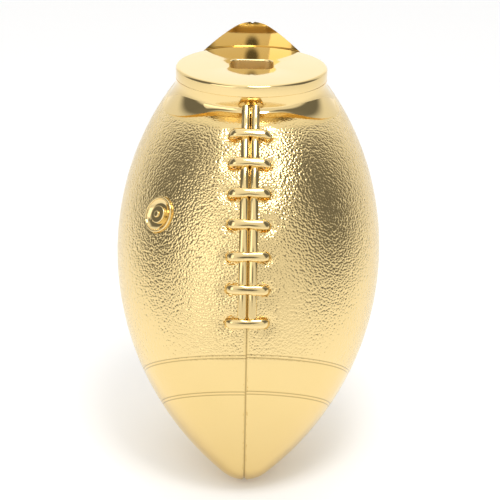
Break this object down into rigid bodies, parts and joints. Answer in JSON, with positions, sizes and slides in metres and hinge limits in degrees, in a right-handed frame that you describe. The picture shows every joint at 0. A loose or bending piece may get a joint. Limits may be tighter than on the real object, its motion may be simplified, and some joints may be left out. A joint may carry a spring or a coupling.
{
  "type": "trophy football",
  "caption": "Hollow gold-plated football with moulded laces and an oblique round seat and socket for fixing it on a pedestal.",
  "frame": {"origin": "centre of the round seat face, on the seat's axis", "axes": "+Z out of the seat face, the laced side of the ball towards -Y, the cut-away tip towards +Y, +X across the ball"},
  "size_m": [0.157, 0.1869, 0.2423],
  "materials": {
    "gold_pebbled": "mirror gold plating over pebble-grained moulded plastic",
    "gold_polished": "mirror gold plating over smooth moulded plastic",
    "gold_lace": "mirror gold plating over smooth rounded laces",
    "gold_valve": "mirror gold plating over smooth moulded valve pieces",
    "zinc_steel": "zinc-plated steel"
  },
  "bodies": {
    "root": {"shell_left": "gold_pebbled", "shell_right": "gold_pebbled", "seat_collar": "gold_polished", "seat_plate": "gold_polished", "rod_nut": "zinc_steel", "lace_strand_left": "gold_lace", "lace_strand_right": "gold_lace", "valve_bezel": "gold_valve", "valve_boss": "gold_valve", "valve_plug": "gold_valve", "cross_lace_1": "gold_lace", "cross_lace_2": "gold_lace", "cross_lace_3": "gold_lace", "cross_lace_4": "gold_lace", "cross_lace_5": "gold_lace", "cross_lace_6": "gold_lace", "cross_lace_7": "gold_lace"}
  },
  "joints": []
}
